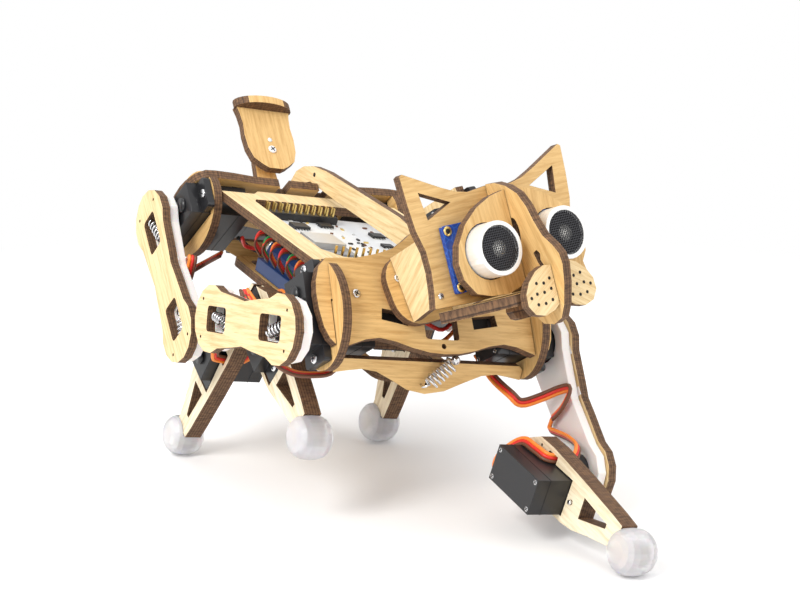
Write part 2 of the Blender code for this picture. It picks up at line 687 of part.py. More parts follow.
LEGS = {}
for word, (side, end, foot_y, lift, bend) in FEET.items():
    LEGS[word] = build_leg(word, side, end, foot_y, lift, bend, MATS)
    lead(word + "_knee_lead", side, end, LEGS[word], MATS["lead"])
build_shoulder("front", -1, MATS)
build_shoulder("rear", 1, MATS)
pan_frame = build_body(MATS)
build_tail(MATS)
build_neck_and_head(pan_frame, MATS)
chest_spring(MATS["steel"])
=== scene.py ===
"""Looks of the plywood robot cat on its CAD frame.

It adds sheet grain, burnt edges, screws, springs, wiring, boards and light.
Pieces are drawn in millimetres in the body frame.
"""

import json
import math
import random

import bmesh
import bpy
import numpy as np
from mathutils import Matrix, Vector
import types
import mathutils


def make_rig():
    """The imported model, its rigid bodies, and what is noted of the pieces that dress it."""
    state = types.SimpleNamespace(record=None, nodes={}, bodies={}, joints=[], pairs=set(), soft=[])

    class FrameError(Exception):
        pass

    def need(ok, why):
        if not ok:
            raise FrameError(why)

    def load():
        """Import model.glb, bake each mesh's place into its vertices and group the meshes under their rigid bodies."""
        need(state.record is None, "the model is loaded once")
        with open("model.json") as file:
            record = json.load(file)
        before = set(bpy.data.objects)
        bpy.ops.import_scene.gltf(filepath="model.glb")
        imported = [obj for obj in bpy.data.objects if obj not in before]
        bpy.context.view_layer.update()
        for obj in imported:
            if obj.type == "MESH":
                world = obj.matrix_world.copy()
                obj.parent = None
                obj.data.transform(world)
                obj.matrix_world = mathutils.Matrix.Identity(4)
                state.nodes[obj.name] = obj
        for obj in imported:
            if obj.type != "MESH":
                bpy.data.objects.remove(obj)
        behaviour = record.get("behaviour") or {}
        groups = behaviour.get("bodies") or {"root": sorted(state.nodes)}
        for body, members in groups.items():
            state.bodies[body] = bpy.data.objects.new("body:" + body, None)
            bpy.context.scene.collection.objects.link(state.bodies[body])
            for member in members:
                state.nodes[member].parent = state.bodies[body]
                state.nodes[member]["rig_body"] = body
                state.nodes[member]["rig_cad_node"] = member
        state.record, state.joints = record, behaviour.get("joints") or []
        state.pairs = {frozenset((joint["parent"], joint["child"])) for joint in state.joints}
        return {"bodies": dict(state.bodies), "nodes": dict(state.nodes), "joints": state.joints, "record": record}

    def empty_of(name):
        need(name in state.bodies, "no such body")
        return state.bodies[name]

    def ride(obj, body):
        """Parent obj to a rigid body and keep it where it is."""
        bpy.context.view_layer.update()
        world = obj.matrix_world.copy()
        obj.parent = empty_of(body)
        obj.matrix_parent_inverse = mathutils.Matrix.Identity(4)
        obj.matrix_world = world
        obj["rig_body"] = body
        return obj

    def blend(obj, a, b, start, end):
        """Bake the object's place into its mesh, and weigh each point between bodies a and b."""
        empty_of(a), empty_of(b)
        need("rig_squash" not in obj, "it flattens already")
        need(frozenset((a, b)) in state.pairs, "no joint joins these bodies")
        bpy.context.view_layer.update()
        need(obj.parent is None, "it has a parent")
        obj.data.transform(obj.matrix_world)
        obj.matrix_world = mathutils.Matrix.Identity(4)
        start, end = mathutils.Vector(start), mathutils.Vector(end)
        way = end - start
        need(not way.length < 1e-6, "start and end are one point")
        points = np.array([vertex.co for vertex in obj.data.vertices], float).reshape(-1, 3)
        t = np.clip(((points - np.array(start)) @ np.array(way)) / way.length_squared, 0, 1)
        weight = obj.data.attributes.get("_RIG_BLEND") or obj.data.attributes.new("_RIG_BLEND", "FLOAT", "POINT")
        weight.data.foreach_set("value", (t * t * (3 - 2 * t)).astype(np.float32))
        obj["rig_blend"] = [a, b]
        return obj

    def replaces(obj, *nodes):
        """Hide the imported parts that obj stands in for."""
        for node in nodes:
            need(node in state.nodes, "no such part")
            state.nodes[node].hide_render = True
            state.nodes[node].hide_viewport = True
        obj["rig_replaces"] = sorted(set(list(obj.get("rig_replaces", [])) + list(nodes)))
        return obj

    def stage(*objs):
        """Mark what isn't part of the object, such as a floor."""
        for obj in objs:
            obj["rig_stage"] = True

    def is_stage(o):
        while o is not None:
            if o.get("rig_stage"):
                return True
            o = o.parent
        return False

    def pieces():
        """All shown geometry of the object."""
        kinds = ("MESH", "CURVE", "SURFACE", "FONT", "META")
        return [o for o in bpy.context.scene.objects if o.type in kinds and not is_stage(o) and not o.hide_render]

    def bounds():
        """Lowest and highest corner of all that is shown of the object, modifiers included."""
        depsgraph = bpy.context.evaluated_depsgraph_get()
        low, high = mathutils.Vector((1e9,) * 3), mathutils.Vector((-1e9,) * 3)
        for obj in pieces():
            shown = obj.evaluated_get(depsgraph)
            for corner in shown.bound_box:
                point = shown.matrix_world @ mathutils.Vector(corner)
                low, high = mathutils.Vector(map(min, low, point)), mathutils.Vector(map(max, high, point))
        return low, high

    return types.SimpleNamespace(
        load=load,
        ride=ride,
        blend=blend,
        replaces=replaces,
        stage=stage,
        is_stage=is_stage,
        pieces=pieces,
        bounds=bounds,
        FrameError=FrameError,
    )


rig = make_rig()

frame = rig.load()
cad_box = [list(corner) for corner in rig.bounds()]
NODES = frame["nodes"]
random.seed(7)

MM = 0.001
BODY_ROLL = 10.5
BODY_PITCH = 8.55
BODY_HEIGHT = 67.2
SHOULDER_Y = 53.5
SHOULDER_Z = 9.0
LEAN = 39.3
SERVO_BACK = 9.3
HIP_DROP = 7.0
THIGH_LENGTH = 45.0
SHANK_LENGTH = 48.0
FOOT_X = 32.8
FOOT_STAND = 7.2
HIP_SERVO_TOP = 45.2
KNEE_SERVO_TOP = 39.7
TILT_SERVO_TOP = 9.5
BOARD_TOP = 10.0
WINDOW_FLOOR = 46.95

# Per leg: side, end, foot place along the body, lift off the ground, and which way the knee bends.
FEET = {
    "front_right": (-1, -1, -50.6, 22.4, -1),
    "front_left": (1, -1, -132.5, 0.0, -1),
    "rear_right": (-1, 1, 30.5, 0.0, 1),
    "rear_left": (1, 1, 11.0, 0.0, 1),
}


def turn(axis, degrees):
    return Matrix.Rotation(math.radians(degrees), 4, axis)


def shift(x, y, z):
    return Matrix.Translation((x, y, z))


def shoulder(end):
    """Frame of a leaning chest or rear plate: X across, +Z up the plate."""
    return shift(0, end * SHOULDER_Y, SHOULDER_Z) @ turn("X", end * LEAN)


def leg_angles(hip, foot_y, foot_z, bend):
    """Angles of thigh and shank forward of straight down, in degrees."""
    dy, dz = foot_y - hip.y, foot_z - hip.z
    reach = math.hypot(dy, dz)
    line = math.atan2(-dy, -dz)
    at_hip = math.acos((THIGH_LENGTH**2 + reach**2 - SHANK_LENGTH**2) / (2 * THIGH_LENGTH * reach))
    thigh = line + bend * at_hip
    knee_y = hip.y - THIGH_LENGTH * math.sin(thigh)
    knee_z = hip.z - THIGH_LENGTH * math.cos(thigh)
    shank = math.atan2(knee_y - foot_y, knee_z - foot_z)
    return math.degrees(thigh), math.degrees(shank)

# Local frames, millimetres in the body frame.
BODY_TURN = turn("X", BODY_PITCH) @ turn("Y", BODY_ROLL)
BODY_PLACE = Vector((2.717, 21.138, BODY_HEIGHT)) * MM
BODY = Matrix.Translation(BODY_PLACE) @ BODY_TURN
HERE = Matrix.Identity(4)
LEGS, HIP, THIGH, SHANK = {}, {}, {}, {}
for leg, (side, end, foot_y, lift, bend) in FEET.items():
    HIP[leg] = shoulder(end) @ shift(0, -end * SERVO_BACK, -HIP_DROP)
    up = BODY_TURN.to_3x3().row[2]
    foot_z = (FOOT_STAND + lift - BODY_HEIGHT - up[0] * side * FOOT_X - up[1] * foot_y) / up[2]
    thigh_angle, shank_angle = leg_angles(HIP[leg].translation, foot_y, foot_z, bend)
    LEGS[leg] = (side, end, thigh_angle)
    THIGH[leg] = Matrix.Translation(HIP[leg].translation) @ turn("X", -thigh_angle)
    knee = THIGH[leg] @ shift(0, 0, -THIGH_LENGTH)
    SHANK[leg] = Matrix.Translation(knee.translation) @ turn("X", -shank_angle)
PAN = shoulder(-1) @ shift(0, 0, 7.4)
SWING = PAN @ turn("Y", -15.4)
PIVOT = SWING @ shift(0, -22.5, 0)
HEAD = PIVOT @ turn("X", 11.1)
FACE = HEAD @ shift(0, -14.0, 1.6)
TAIL = shoulder(1) @ shift(0, 7.3, -3.5)


def metres(local):
    return BODY @ Matrix.Scale(MM, 4) @ local


# ---------------------------------------------------------------- materials


class Shader:
    """Small helper round one material's node tree."""

    def __init__(self, name, colour, roughness=0.5, metallic=0.0):
        self.mat = bpy.data.materials.new(name)
        self.mat.use_nodes = True
        self.tree = self.mat.node_tree
        self.bsdf = self.tree.nodes["Principled BSDF"]
        self.put("Base Color", (*colour, 1.0))
        self.put("Roughness", roughness)
        self.put("Metallic", metallic)

    def put(self, socket, value):
        self.bsdf.inputs[socket].default_value = value

    def node(self, kind, **settings):
        made = self.tree.nodes.new(kind)
        for key, value in settings.items():
            setattr(made, key, value)
        return made

    def link(self, out, into):
        self.tree.links.new(out, into)

    def math(self, operation, a, b=None):
        made = self.node("ShaderNodeMath", operation=operation)
        for slot, value in enumerate((a, b)):
            if value is None:
                continue
            if isinstance(value, (int, float)):
                made.inputs[slot].default_value = value
            else:
                self.link(value, made.inputs[slot])
        return made.outputs[0]

    def place(self):
        """Object coordinates in metres; they ride with the piece."""
        return self.node("ShaderNodeTexCoord").outputs["Object"]

    def along(self, axis, per_metre=1.0, offset=0.0):
        dot = self.node("ShaderNodeVectorMath", operation="DOT_PRODUCT")
        self.link(self.place(), dot.inputs[0])
        dot.inputs[1].default_value = [a * per_metre for a in axis]
        return self.math("ADD", dot.outputs["Value"], offset)

    def combine(self, x, y, z):
        made = self.node("ShaderNodeCombineXYZ")
        for slot, value in enumerate((x, y, z)):
            self.link(value, made.inputs[slot])
        return made.outputs[0]

    def noise(self, vector, scale, detail=3.0, rough=0.55):
        made = self.node("ShaderNodeTexNoise")
        made.inputs["Scale"].default_value = scale
        made.inputs["Detail"].default_value = detail
        made.inputs["Roughness"].default_value = rough
        if vector is not None:
            self.link(vector, made.inputs["Vector"])
        return made.outputs["Fac"]

    def ramp(self, value, stops):
        made = self.node("ShaderNodeValToRGB")
        self.link(value, made.inputs["Fac"])
        elements = made.color_ramp.elements
        while len(elements) < len(stops):
            elements.new(0.5)
        for element, (position, colour) in zip(elements, stops):
            element.position = position
            element.color = (*colour, 1.0) if len(colour) == 3 else colour
        return made.outputs["Color"]

    def blend(self, factor, a, b, mode="MIX"):
        made = self.node("ShaderNodeMix", data_type="RGBA", blend_type=mode)
        for socket, value in ((made.inputs["Factor"], factor), (made.inputs["A"], a), (made.inputs["B"], b)):
            if isinstance(value, (int, float)):
                socket.default_value = value
            elif isinstance(value, tuple):
                socket.default_value = (*value, 1.0)
            else:
                self.link(value, socket)
        return made.outputs["Result"]

    def bump(self, height, strength=0.2, distance=0.0002):
        made = self.node("ShaderNodeBump")
        made.inputs["Strength"].default_value = strength
        made.inputs["Distance"].default_value = distance
        self.link(height, made.inputs["Height"])
        self.link(made.outputs[0], self.bsdf.inputs["Normal"])


def sheet_axes(obj):
    """(normal, grain, across, lowest level, thickness) of a sheet piece, from its largest faces."""
    groups = {}
    for poly in obj.data.polygons:
        key = tuple(round(c, 2) for c in poly.normal)
        flipped = tuple(-c for c in key)
        use = flipped if flipped in groups else key
        groups[use] = groups.get(use, 0.0) + poly.area
    best = max(groups, key=groups.get)
    chosen = [p for p in obj.data.polygons if abs(p.normal.dot(Vector(best).normalized())) > 0.995]
    normal = max(chosen, key=lambda p: p.area).normal.normalized()
    levels = [v.co.dot(normal) for v in obj.data.vertices]
    points = np.array([v.co for v in obj.data.vertices])
    flat = points - np.outer(points @ np.array(normal), np.array(normal))
    grain = Vector(np.linalg.svd(flat - flat.mean(0), full_matrices=False)[2][0]).normalized()
    return normal, grain, normal.cross(grain).normalized(), min(levels), max(levels) - min(levels)


def ply_face(name, colour, axes):
    normal, grain, across = axes[:3]
    s = Shader(name + "_face", colour, 0.62)
    long = s.along(grain, 60.0)
    wide = s.along(across, 900.0)
    deep = s.along(normal, 60.0)
    streak = s.noise(s.combine(long, wide, deep), 1.0, 4.0, 0.6)
    fine = s.noise(s.combine(s.along(grain, 260.0), s.along(across, 4200.0), deep), 1.0, 2.0, 0.5)
    cloud = s.noise(s.place(), 55.0, 3.0)
    light = tuple(min(1.0, c * 1.10) for c in colour)
    dark = (colour[0] * 0.80, colour[1] * 0.73, colour[2] * 0.62)
    base = s.ramp(streak, [(0.34, dark), (0.56, colour), (0.75, light)])
    pores = s.ramp(fine, [(0.30, (0.72, 0.64, 0.52)), (0.42, (1, 1, 1))])
    base = s.blend(0.55, base, pores, "MULTIPLY")
    base = s.blend(0.35, base, s.ramp(cloud, [(0.35, (0.86, 0.80, 0.70)), (0.65, (1, 1, 1))]), "MULTIPLY")
    s.link(base, s.bsdf.inputs["Base Color"])
    s.bump(fine, 0.25, 0.00008)
    return s.mat


def ply_edge(name, axes, layers):
    normal, grain, across, low, thick = axes
    s = Shader(name + "_edge", (0.07, 0.035, 0.018), 0.75)
    level = s.along(normal, layers / thick, -low * layers / thick)
    coarse = s.combine(s.along(grain, 300.0), s.along(across, 300.0), s.along(normal, 300.0))
    wobble = s.noise(coarse, 1.0, 2.0)
    level = s.math("ADD", level, s.math("MULTIPLY", s.math("SUBTRACT", wobble, 0.5), 0.22))
    band = s.math("FRACT", level)
    line = (0.025, 0.012, 0.007)
    veneers = [(0.16, (0.17, 0.090, 0.042)), (0.84, (0.13, 0.066, 0.031))]
    glue = s.ramp(band, [(0.0, line), *veneers, (1.0, line)])
    small = s.combine(s.along(grain, 1500.0), s.along(across, 1500.0), s.along(normal, 400.0))
    fleck = s.noise(small, 1.0, 3.0)
    char = s.ramp(fleck, [(0.32, (0.40, 0.36, 0.34)), (0.55, (1, 1, 1)), (0.75, (1.55, 1.45, 1.3))])
    s.link(s.blend(0.9, glue, char, "MULTIPLY"), s.bsdf.inputs["Base Color"])
    s.bump(fleck, 0.4, 0.0001)
    return s.mat


def plain(name, colour, roughness, metallic=0.0, speckle=0.0, **extra):
    s = Shader(name, colour, roughness, metallic)
    for socket, value in extra.items():
        s.put(socket.replace("_", " "), value)
    if speckle:
        grit = s.noise(s.place(), 2600.0, 2.0)
        s.bump(grit, speckle, 0.00005)
    return s.mat


# CREAM is the plywood as lit. The tan tone below is the same plywood with painted shade, for plates that sit in shade.
CREAM = (0.80, 0.62, 0.35)
PAINTED_SHADE_PLY = (0.70, 0.46, 0.19)
M = {
    "servo": plain("servo_plastic", (0.012, 0.012, 0.014), 0.33, speckle=0.12),
    "seam": plain("servo_seam", (0.004, 0.004, 0.005), 0.6, speckle=0.1),
    "nylon": plain(
        "white_nylon", (0.83, 0.79, 0.77), 0.42, speckle=0.1, Subsurface_Weight=0.15, Subsurface_Scale=0.002
    ),
    "steel": plain("bright_steel", (0.70, 0.70, 0.71), 0.24, 1.0, speckle=0.06),
    "cross": plain("screw_recess", (0.03, 0.03, 0.032), 0.5, 0.4, speckle=0.1),
    # Near-black stand-in for holes, slots and openings: painted shade where the inside shows.
    "dark": plain("dark_inside", (0.010, 0.008, 0.007), 0.8, speckle=0.1),
    "red": plain("red_wire", (0.72, 0.03, 0.02), 0.42, speckle=0.06),
    "orange": plain("orange_wire", (0.86, 0.24, 0.03), 0.42, speckle=0.06),
    "brown": plain("brown_wire", (0.16, 0.06, 0.03), 0.45, speckle=0.06),
    "green": plain("green_wire", (0.03, 0.28, 0.07), 0.42, speckle=0.06),
    "pcb": plain("white_solder_mask", (0.74, 0.76, 0.78), 0.32, speckle=0.1),
    "gold": plain("gold_pad", (0.85, 0.62, 0.22), 0.28, 1.0, speckle=0.08),
    "chip": plain("chip_black", (0.015, 0.015, 0.017), 0.42, speckle=0.2),
    "grey": plain("grey_module", (0.28, 0.29, 0.31), 0.45, 0.2, speckle=0.1),
    "tin": plain("tin_shell", (0.72, 0.72, 0.70), 0.30, 0.85, speckle=0.1),
    "eye_shell": plain("transducer_shell", (0.80, 0.80, 0.79), 0.34, 0.35, speckle=0.1),
    "mesh_wire": plain("transducer_mesh", (0.05, 0.05, 0.055), 0.35, 0.8, speckle=0.1),
    "cone": plain("transducer_cone", (0.86, 0.84, 0.78), 0.25, 0.6, speckle=0.08),
    "cell": plain("cell_wrap", (0.02, 0.05, 0.16), 0.35, speckle=0.08),
}


def blue_board():
    s = Shader("blue_solder_mask", (0.015, 0.06, 0.34), 0.28)
    trace = s.node("ShaderNodeTexVoronoi", feature="DISTANCE_TO_EDGE")
    trace.inputs["Scale"].default_value = 420.0
    s.link(s.place(), trace.inputs["Vector"])
    base = s.ramp(trace.outputs["Distance"], [(0.0, (0.03, 0.14, 0.55)), (0.06, (0.015, 0.055, 0.30))])
    s.link(base, s.bsdf.inputs["Base Color"])
    return s.mat


def silicone():
    s = Shader("clear_silicone", (0.86, 0.84, 0.90), 0.30)
    s.put("Transmission Weight", 0.72)
    s.put("IOR", 1.36)
    s.put("Subsurface Weight", 0.15)
    s.put("Subsurface Scale", 0.003)
    cloud = s.noise(s.place(), 120.0, 2.0)
    base = s.ramp(cloud, [(0.35, (0.90, 0.89, 0.93)), (0.65, (0.98, 0.97, 0.98))])
    s.link(base, s.bsdf.inputs["Base Color"])
    s.bump(s.noise(s.place(), 1500.0, 2.0), 0.15, 0.0001)
    return s.mat


M["blue"] = blue_board()
M["silicone"] = silicone()


# ---------------------------------------------------------------- CAD nodes

PALE_NODES = (
    "thigh_plate", "back_frame", "spine_rail", "neck_servo_bracket", "neck_side_plate", "head_arm",
    "whisker_pad",
)
PAINTED_SHADE_NODES = (
    "chest_plate", "rear_plate", "lower_plate", "shoulder_board", "battery_tray", "tail", "neck_plate",
    "face_plate", "eye_plate", "nose_plate", "jaw_plate",
)


def soften(obj, width, angle=35.0):
    """Breaks the sharp edges of a CAD piece by width, in millimetres, without moving its own points."""
    weld = obj.modifiers.new("weld", "WELD")
    weld.merge_threshold = 0.000002
    bevel = obj.modifiers.new("bevel", "BEVEL")
    bevel.width = width * MM
    bevel.segments = 2
    bevel.limit_method = "ANGLE"
    bevel.angle_limit = math.radians(angle)


def use(obj, *mats):
    obj.data.materials.clear()
    for mat in mats:
        obj.data.materials.append(mat)


def dress(name, obj):
    """Gives a CAD piece its finish: sheet faces and burnt edges, or one plain material."""
    ending = [w for w in PALE_NODES + PAINTED_SHADE_NODES + ("shank",) if name == w or name.endswith("_" + w)]
    if ending:
        axes = sheet_axes(obj)
        # Plates in shade get the tan tone of painted shade instead of the lit cream.
        colour = PAINTED_SHADE_PLY if ending[0] in PAINTED_SHADE_NODES else CREAM
        if ending[0] == "shank":
            colour = (0.86, 0.76, 0.57)
        layers = 6 if ending[0] == "shank" else 3
        if name == "tail":
            levels = [v.co.dot(axes[0]) for v in obj.data.vertices]
            axes = (axes[0], axes[1], axes[2], min(levels), 0.003)
        use(obj, ply_face(name, colour, axes), ply_edge(name, axes, layers))
        for poly in obj.data.polygons:
            flat = abs(poly.normal.dot(axes[0])) > 0.96
            poly.material_index = 0 if flat else 1
            poly.use_smooth = False
        soften(obj, 0.12)
        return
    if "servo" in name:
        use(obj, M["servo"])
        soften(obj, 0.15, 60.0)
    elif name.endswith("_foot"):
        use(obj, M["silicone"])
        for poly in obj.data.polygons:
            poly.use_smooth = False
        soften(obj, 0.3, 50)
    elif name.endswith("_core"):
        use(obj, M["nylon"])
        soften(obj, 0.25)
    elif name == "circuit_board":
        use(obj, M["pcb"])
        soften(obj, 0.1)
    elif name == "sensor_board":
        use(obj, M["blue"])
        soften(obj, 0.1)
    elif name.endswith("transducer"):
        use(obj, M["eye_shell"])
        soften(obj, 0.3)
    elif name == "battery_pack":
        use(obj, M["cell"])
        soften(obj, 0.2)
    elif name == "chest_spring":
        use(obj, M["steel"])


for node_name, node in NODES.items():
    dress(node_name, node)


# ---------------------------------------------------------------- added pieces


class Piece:
    """One added mesh with several finishes, drawn in millimetres in local frames of the body frame."""

    def __init__(self, name, body):
        self.name, self.body = name, body
        self.mesh = bmesh.new()
        self.finishes = []

    def finish(self, word):
        if word not in self.finishes:
            self.finishes.append(word)
        return self.finishes.index(word)

    def grow(self, verts, faces, word, local, smooth=False):
        made = [self.mesh.verts.new(local @ Vector(v)) for v in verts]
        slot = self.finish(word)
        for face in faces:
            try:
                new = self.mesh.faces.new([made[i] for i in face])
            except ValueError:
                continue
            new.material_index = slot
            new.smooth = smooth
        return self

    def box(self, lo, hi, word, local, bevel=0.0):
        temp = bmesh.new()
        bmesh.ops.create_cube(temp, size=1.0)
        for v in temp.verts:
            v.co = Vector([(lo[i] + hi[i]) / 2 + v.co[i] * (hi[i] - lo[i]) for i in range(3)])
        if bevel:
            bmesh.ops.bevel(temp, geom=temp.edges[:], offset=bevel, segments=2, affect="EDGES", profile=0.6)
        return self.take(temp, word, local)

    def take(self, temp, word, local, smooth=False):
        temp.verts.ensure_lookup_table()
        temp.verts.index_update()
        verts = [v.co.copy() for v in temp.verts]
        faces = [[v.index for v in f.verts] for f in temp.faces]
        temp.free()
        return self.grow(verts, faces, word, local, smooth)

    def lathe(self, axis, centre, profile, word, local, count=24, smooth=True):
        """Revolves (level, radius) points about an axis through centre."""
        turned = {"X": (1, 2, 0), "Y": (0, 2, 1), "Z": (0, 1, 2)}[axis]
        verts, faces, rings = [], [], []
        for level, radius in profile:
            ring = []
            steps = 1 if radius < 1e-6 else count
            for i in range(steps):
                a = 2 * math.pi * i / count
                p = [0.0, 0.0, 0.0]
                p[turned[0]] = radius * math.cos(a)
                p[turned[1]] = radius * math.sin(a)
                p[turned[2]] = level
                verts.append(Vector(p) + Vector(centre))
                ring.append(len(verts) - 1)
            rings.append(ring)
        for a, b in zip(rings, rings[1:]):
            for i in range(count):
                j = (i + 1) % count
                if len(a) == 1 and len(b) == 1:
                    continue
                if len(a) == 1:
                    faces.append((a[0], b[j], b[i]))
                elif len(b) == 1:
                    faces.append((a[i], a[j], b[0]))
                else:
                    faces.append((a[i], a[j], b[j], b[i]))
        return self.grow(verts, faces, word, local, smooth)

    def tube(self, points, radius, word, local, count=8):
        """A round wire through points."""
        points = [Vector(p) for p in points]
        verts, faces = [], []
        side = None
        for i, p in enumerate(points):
            ahead = (points[min(i + 1, len(points) - 1)] - points[max(i - 1, 0)]).normalized()
            side = (ahead.orthogonal() if side is None else side - ahead * side.dot(ahead)).normalized()
            other = ahead.cross(side)
            for k in range(count):
                a = 2 * math.pi * k / count
                verts.append(p + radius * (math.cos(a) * side + math.sin(a) * other))
        for i in range(len(points) - 1):
            for k in range(count):
                n = (k + 1) % count
                faces.append((i * count + k, i * count + n, (i + 1) * count + n, (i + 1) * count + k))
        faces.append(tuple(range(count)))
        faces.append(tuple(len(verts) - 1 - k for k in range(count)))
        return self.grow(verts, faces, word, local, True)

    def coil(self, low, high, radius, wire, turns, word, local, steps=14):
        low, high = Vector(low), Vector(high)
        axis = (high - low).normalized()
        side = axis.orthogonal().normalized()
        other = axis.cross(side)
        points = []
        for i in range(int(turns * steps) + 1):
            t = i / (turns * steps)
            a = 2 * math.pi * turns * t
            points.append(low.lerp(high, t) + radius * (math.cos(a) * side + math.sin(a) * other))
        return self.tube(points, wire, word, local, 6)

    def screw(self, axis, centre, out, radius, local, head=0.8, spin=20.0, word="steel"):
        """A domed cross-head screw whose head stands out along the axis."""
        c = Vector(centre)
        profile = [(0, 0.0), (0, radius), (out * head * 0.5, radius), (out * head * 0.85, radius * 0.8)]
        profile += [(out * head, radius * 0.45), (out * head, 0.0)]
        self.lathe(axis, c, profile, word, local, 20)
        i = "XYZ".index(axis)
        for turned in (spin, spin + 90):
            arm = bmesh.new()
            bmesh.ops.create_cube(arm, size=1.0)
            for v in arm.verts:
                u, w, h = v.co.x * radius * 1.25, v.co.y * radius * 0.26, v.co.z * 0.12
                a = math.radians(turned)
                p = [0.0, 0.0, 0.0]
                p[(i + 1) % 3] = u * math.cos(a) - w * math.sin(a)
                p[(i + 2) % 3] = u * math.sin(a) + w * math.cos(a)
                p[i] = out * head + h
                v.co = Vector(p) + c
            self.take(arm, "cross", local)
        return self

    def done(self):
        bmesh.ops.recalc_face_normals(self.mesh, faces=self.mesh.faces[:])
        data = bpy.data.meshes.new(self.name)
        self.mesh.transform(metres(Matrix.Identity(4)))
        self.mesh.to_mesh(data)
        self.mesh.free()
        for word in self.finishes:
            data.materials.append(M[word])
        obj = bpy.data.objects.new(self.name, data)
        bpy.context.scene.collection.objects.link(obj)
        if self.body:
            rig.ride(obj, self.body)
        return obj


def smooth(points, steps=5):
    """A smooth line through points."""
    pts = [Vector(p) for p in points]
    pts = [pts[0] * 2 - pts[1]] + pts + [pts[-1] * 2 - pts[-2]]
    out = []
    for i in range(1, len(pts) - 2):
        p = pts[i - 1 : i + 3]
        for k in range(steps):
            t = k / steps
            out.append(
                0.5
                * (
                    p[1] * 2
                    + (p[2] - p[0]) * t
                    + (p[0] * 2 - p[1] * 5 + p[2] * 4 - p[3]) * t * t
                    + (p[1] * 3 - p[0] - p[2] * 3 + p[3]) * t * t * t
                )
            )
    return out + [pts[-2]]


def drum(side, first, last, radius):
    """Profile of a plain round drum between two levels on the given side."""
    return [(side * first, 0), (side * first, radius), (side * last, radius), (side * last, 0)]


def servo_details(piece, side, top, local, to_body):
    """Seams, corner screws and a round drum on the top face of one micro servo."""
    frame_of = local @ to_body
    bottom = top - 22.5
    for level in (top - 4.0, bottom + 4.6):
        x0, x1 = sorted((side * level, side * (level + 0.25)))
        piece.box((x0, -5.96, -6.06), (x1, 5.96, 16.86), "seam", frame_of)
    for y in (-4.6, 4.6):
        for z in (-4.7, 15.5):
            piece.screw("X", (side * (bottom + 0.25), y, z), -side, 0.95, frame_of, 0.3, 35)
    piece.lathe("X", (0, 0, 11.4), drum(side, top - 0.4, top + 0.9, 2.5), "servo", frame_of, 20)


def thigh_details(leg):
    side = LEGS[leg][0]
    local = THIGH[leg]
    p = Piece(leg + "_thigh_fittings", leg + "_thigh")
    # Dark sheets at the window floors: painted shade seen through the thigh windows.
    for z, tall in ((-5.0, 13.0), (-40.8, 12.4)):
        x0, x1 = sorted((side * WINDOW_FLOOR, side * (WINDOW_FLOOR + 0.2)))
        p.box((x0, -3.7, z - tall / 2 + 0.4), (x1, 3.7, z + tall / 2 - 0.4), "dark", local)
    p.coil((side * 50.1, 1.7, 0.9), (side * 50.1, -1.4, -8.6), 1.75, 0.36, 5.2, "steel", local)
    end_wire = [(50.1, -1.4, -8.4), (50.3, -0.6, -10.2), (50.2, 1.2, -10.9)]
    p.tube([(side * x, y, z) for x, y, z in end_wire], 0.36, "steel", local)
    horn = [(47.2, 0), (47.2, 3.1), (49.2, 3.1), (49.6, 2.7), (49.6, 0)]
    p.lathe("X", (0, 0.6, -37.2), [(side * x, r) for x, r in horn], "nylon", local, 24)
    p.screw("X", (side * 49.6, 0.6, -37.2), side, 1.35, local, 0.6, 30)
    p.coil((side * 50.0, -0.4, -41.2), (side * 50.0, 0.9, -46.0), 1.6, 0.33, 3.4, "steel", local)
    hook = [(50.0, -1.9, -41.0), (50.6, -2.8, -39.6), (50.8, -2.3, -38.2), (50.5, -1.4, -38.4)]
    p.tube([(side * x, y, z) for x, y, z in hook], 0.33, "steel", local)
    # Dark drums in the small holes at the plate ends: painted shade.
    for y in (-6.1, 6.1):
        for z in (4.8, -50.8):
            p.lathe("X", (0, y, z), drum(side, 49.8, 51.6, 0.48), "dark", local, 8)
    for y, z in ((-7.6, -6.0), (-6.4, -20.0), (6.6, -26.0), (8.8, -38.0)):
        x0, x1 = sorted((side * 49.45, side * 49.75))
        p.box((x0, y - 0.8, z - 1.4), (x1, y + 0.8, z + 1.4), "nylon", local)
    p.done()


def shank_details(leg):
    side = LEGS[leg][0]
    local = SHANK[leg]
    p = Piece(leg + "_shank_fittings", leg + "_lower_leg")
    servo_details(p, side, KNEE_SERVO_TOP, local, turn("X", 180))
    for z in (8.6, -19.4):
        p.screw("X", (side * 35.75, 0, z), side, 1.55, local, 0.75, 25)
        p.lathe("X", (0, 0, z), drum(side, 29.0, 29.9, 0.72), "steel", local, 12)
    p.lathe("X", (0, 0, 0), drum(side, 45.9, 46.15, 2.1), "nylon", local, 20)
    # Pin holes near the tip, seen through the foot, as dark discs of painted shade.
    for y, z in ((-2.4, -46.6), (2.2, -45.4), (0.2, -49.2)):
        p.lathe("X", (0, y, z), drum(side, 35.82, 35.9, 0.5), "dark", local, 10)
    p.done()


def hip_details(leg):
    side = LEGS[leg][0]
    p = Piece(leg + "_hip_fittings", "body")
    servo_details(p, side, HIP_SERVO_TOP, HIP[leg], HERE)
    for z in (-8.6, 19.4):
        p.screw("X", (side * 41.05, 0, z), side, 1.6, HIP[leg], 0.8, 15 + z)
    p.done()


